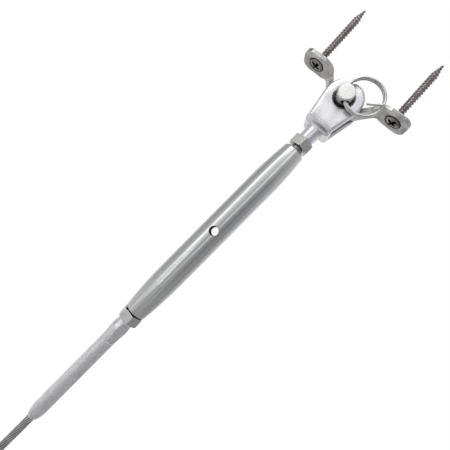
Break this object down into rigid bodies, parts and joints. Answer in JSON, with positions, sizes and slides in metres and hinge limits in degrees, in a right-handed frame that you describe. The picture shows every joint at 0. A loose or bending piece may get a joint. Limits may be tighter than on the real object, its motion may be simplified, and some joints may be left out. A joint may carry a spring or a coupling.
{
  "type": "swage turnbuckle",
  "caption": "Closed-body swage turnbuckle with locknuts, a fork toggle on a two-screw deck saddle and a short wire stub, for tensioning rigging or wire railing.",
  "frame": {"origin": "centre between the two screws on the saddle's mounting face", "axes": "+Z along the screws into the deck, +X from the left screw to the right one, +Y along the clevis pin towards its head; the chain hangs along -Z"},
  "size_m": [0.0614, 0.0224, 0.2931],
  "materials": {
    "polished_body": "polished stainless steel with a soft axial grain",
    "bright_fork": "bright polished stainless steel",
    "satin_strap": "satin stainless steel",
    "swaged_barrel": "drawn and swaged stainless steel",
    "nut_steel": "turned stainless steel",
    "screw_steel": "darker stainless steel with a warm cast",
    "pin_steel": "turned stainless steel",
    "ring_wire": "drawn stainless wire",
    "rope_wire": "stranded stainless wire"
  },
  "bodies": {
    "base": {"deck_saddle": "satin_strap", "screw_left": "screw_steel", "screw_right": "screw_steel"},
    "fork_body": {"fork": "bright_fork"},
    "pin_body": {"clevis_pin": "pin_steel"},
    "ring_body": {"split_ring": "ring_wire"},
    "upper_nut_body": {"upper_locknut": "nut_steel"},
    "tube_body": {"turnbuckle_body": "polished_body"},
    "stud_body": {"swage_stud": "swaged_barrel", "wire_rope": "rope_wire"},
    "lower_nut_body": {"lower_locknut": "nut_steel"}
  },
  "joints": [
    {"name": "toggle_swing", "type": "hinge", "parent": "base", "child": "fork_body", "pos_m": [-0.0009, 0, -0.0104], "axis": [0, 1, 0], "range_deg": [-75, 70]},
    {"name": "pin_turn", "type": "hinge", "parent": "fork_body", "child": "pin_body", "pos_m": [-0.0009, 0, -0.0104], "axis": [0, -1, 0], "range_deg": [-25, 130]},
    {"name": "ring_swing", "type": "hinge", "parent": "pin_body", "child": "ring_body", "pos_m": [-0.0009, -0.0099, -0.0104], "axis": [0.5344, 0, -0.8453], "range_deg": [0, 150]},
    {"name": "body_turn", "type": "hinge", "parent": "fork_body", "child": "tube_body", "pos_m": [-0.00497, 0, -0.0967], "axis": [-0.0471, 0, -0.9989], "range_deg": [0, 3600]},
    {"name": "stud_travel", "type": "slide", "parent": "fork_body", "child": "stud_body", "axis": [-0.0471, 0, -0.9989], "range_m": [0, 0.02]},
    {"name": "upper_nut_turn", "type": "hinge", "parent": "fork_body", "child": "upper_nut_body", "pos_m": [-0.00219, 0, -0.03777], "axis": [0.0471, 0, 0.9989], "continuous": true},
    {"name": "lower_nut_turn", "type": "hinge", "parent": "stud_body", "child": "lower_nut_body", "pos_m": [-0.00768, 0, -0.15414], "axis": [0.0471, 0, 0.9989], "continuous": true}
  ],
  "couplings": [
    {"joint": "stud_travel", "follows": "body_turn", "m_per_rad": 0.00031831}
  ]
}
